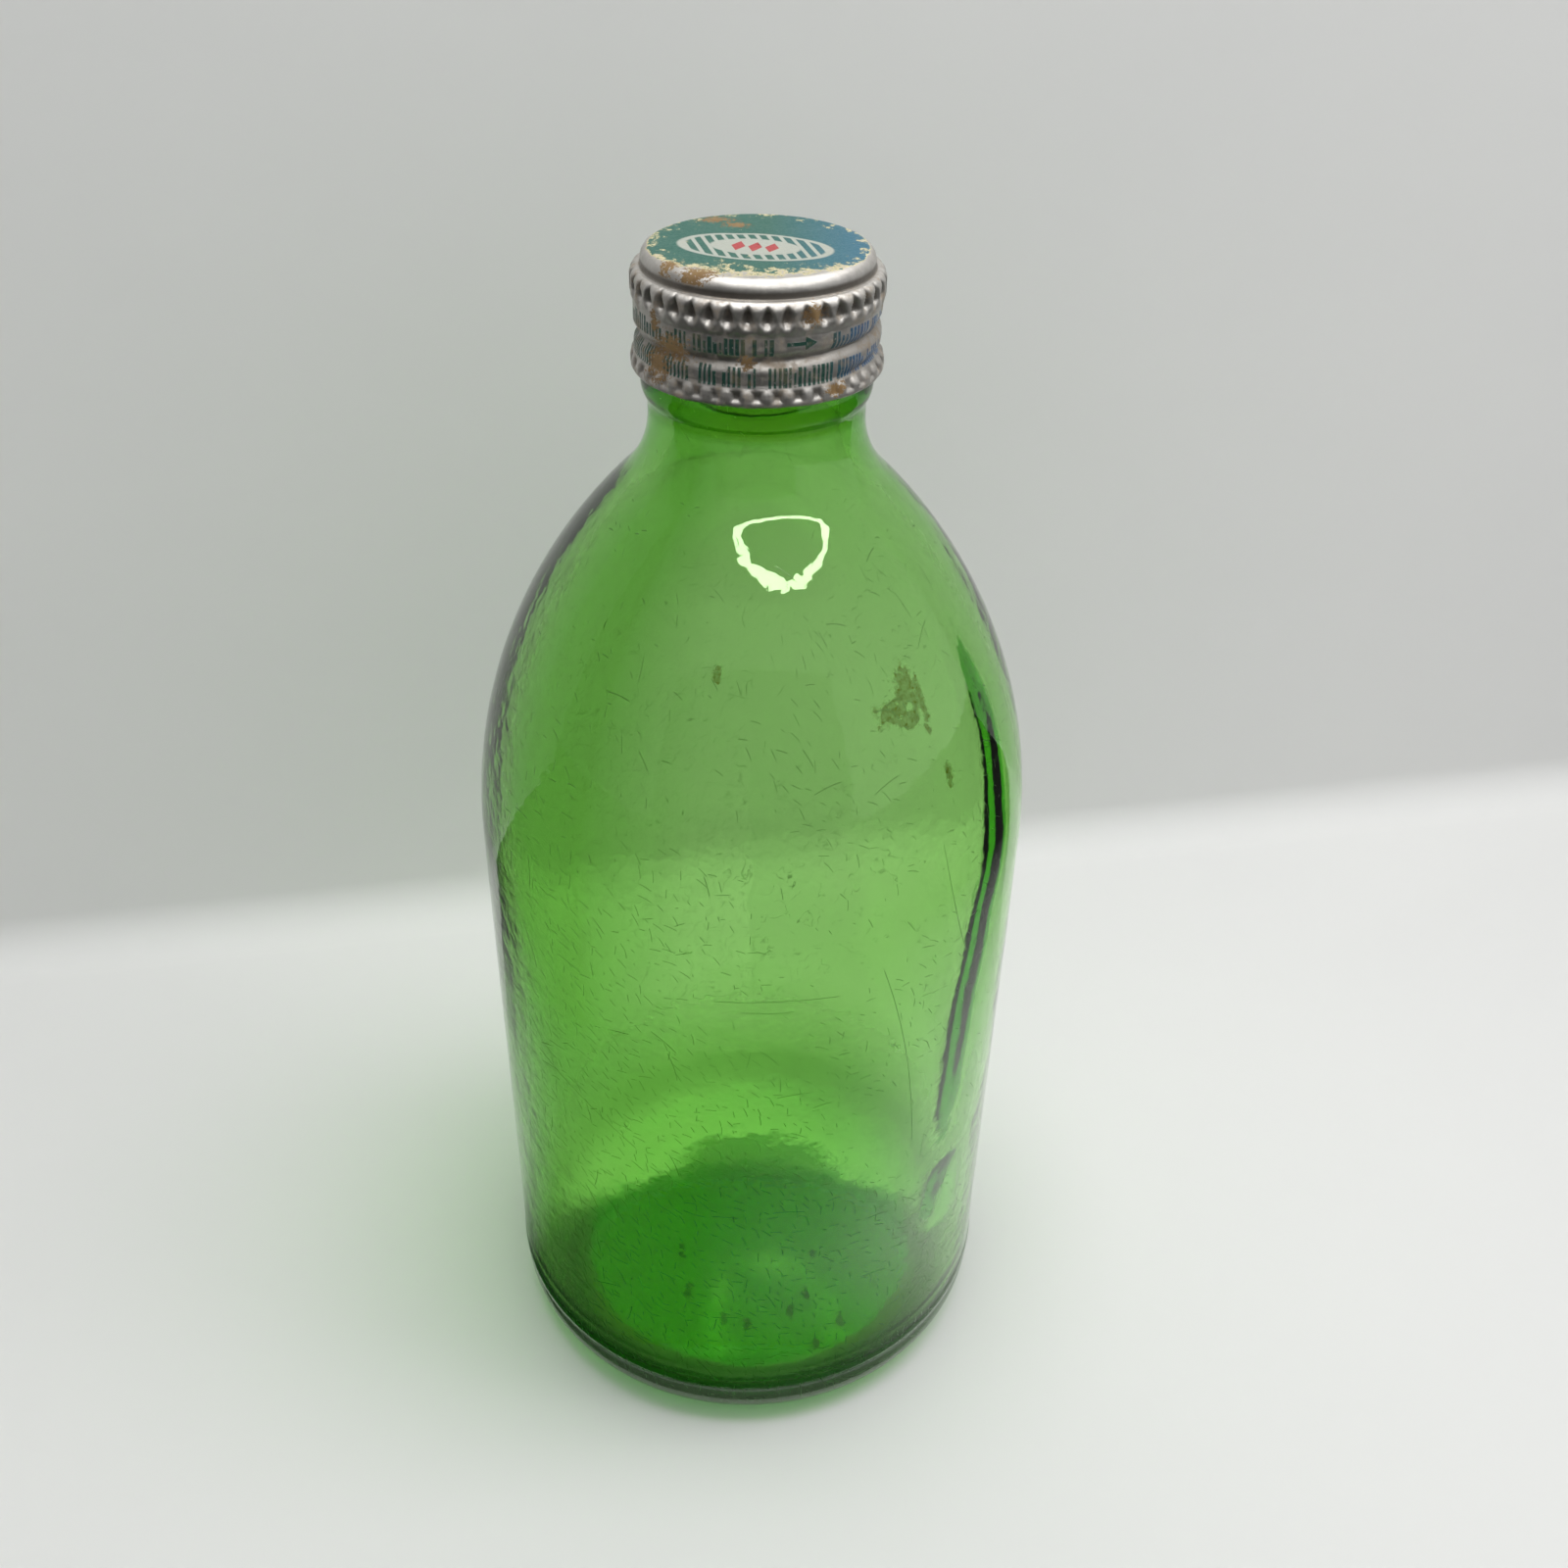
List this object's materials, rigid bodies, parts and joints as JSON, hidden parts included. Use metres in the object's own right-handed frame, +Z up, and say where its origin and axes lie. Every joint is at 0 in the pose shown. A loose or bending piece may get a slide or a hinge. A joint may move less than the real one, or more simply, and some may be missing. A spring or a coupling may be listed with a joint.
{
  "type": "glass soda bottle",
  "caption": "Tall glass soda bottle with a round body, sloping shoulder and short neck, closed by a screw-off roll-on aluminium cap with a sealing liner.",
  "frame": {"origin": "centre of the base, on the plane of the resting ring", "axes": "+Z up the bottle's axis through the mouth; -Y is the front"},
  "size_m": [0.0738, 0.0738, 0.1662],
  "materials": {
    "green_glass": "clear green moulded glass, scuffed",
    "liner_compound": "soft moulded sealing compound",
    "cap_aluminium": "bare rolled sheet with a worn green lacquer on its deck"
  },
  "bodies": {
    "bottle": {"bottle": "green_glass"},
    "liner": {"cap_liner": "liner_compound"},
    "cap": {"cap_shell": "cap_aluminium"}
  },
  "joints": [
    {"name": "cap_lift", "type": "slide", "parent": "bottle", "child": "liner", "axis": [0, 0, 1], "range_m": [0, 0.02223]},
    {"name": "cap_turn", "type": "hinge", "parent": "liner", "child": "cap", "pos_m": [0, 0, 0.1652], "axis": [0, 0, 1], "range_deg": [0, 2520]}
  ],
  "couplings": [
    {"joint": "cap_turn", "follows": "cap_lift", "rad_per_m": 1979}
  ]
}
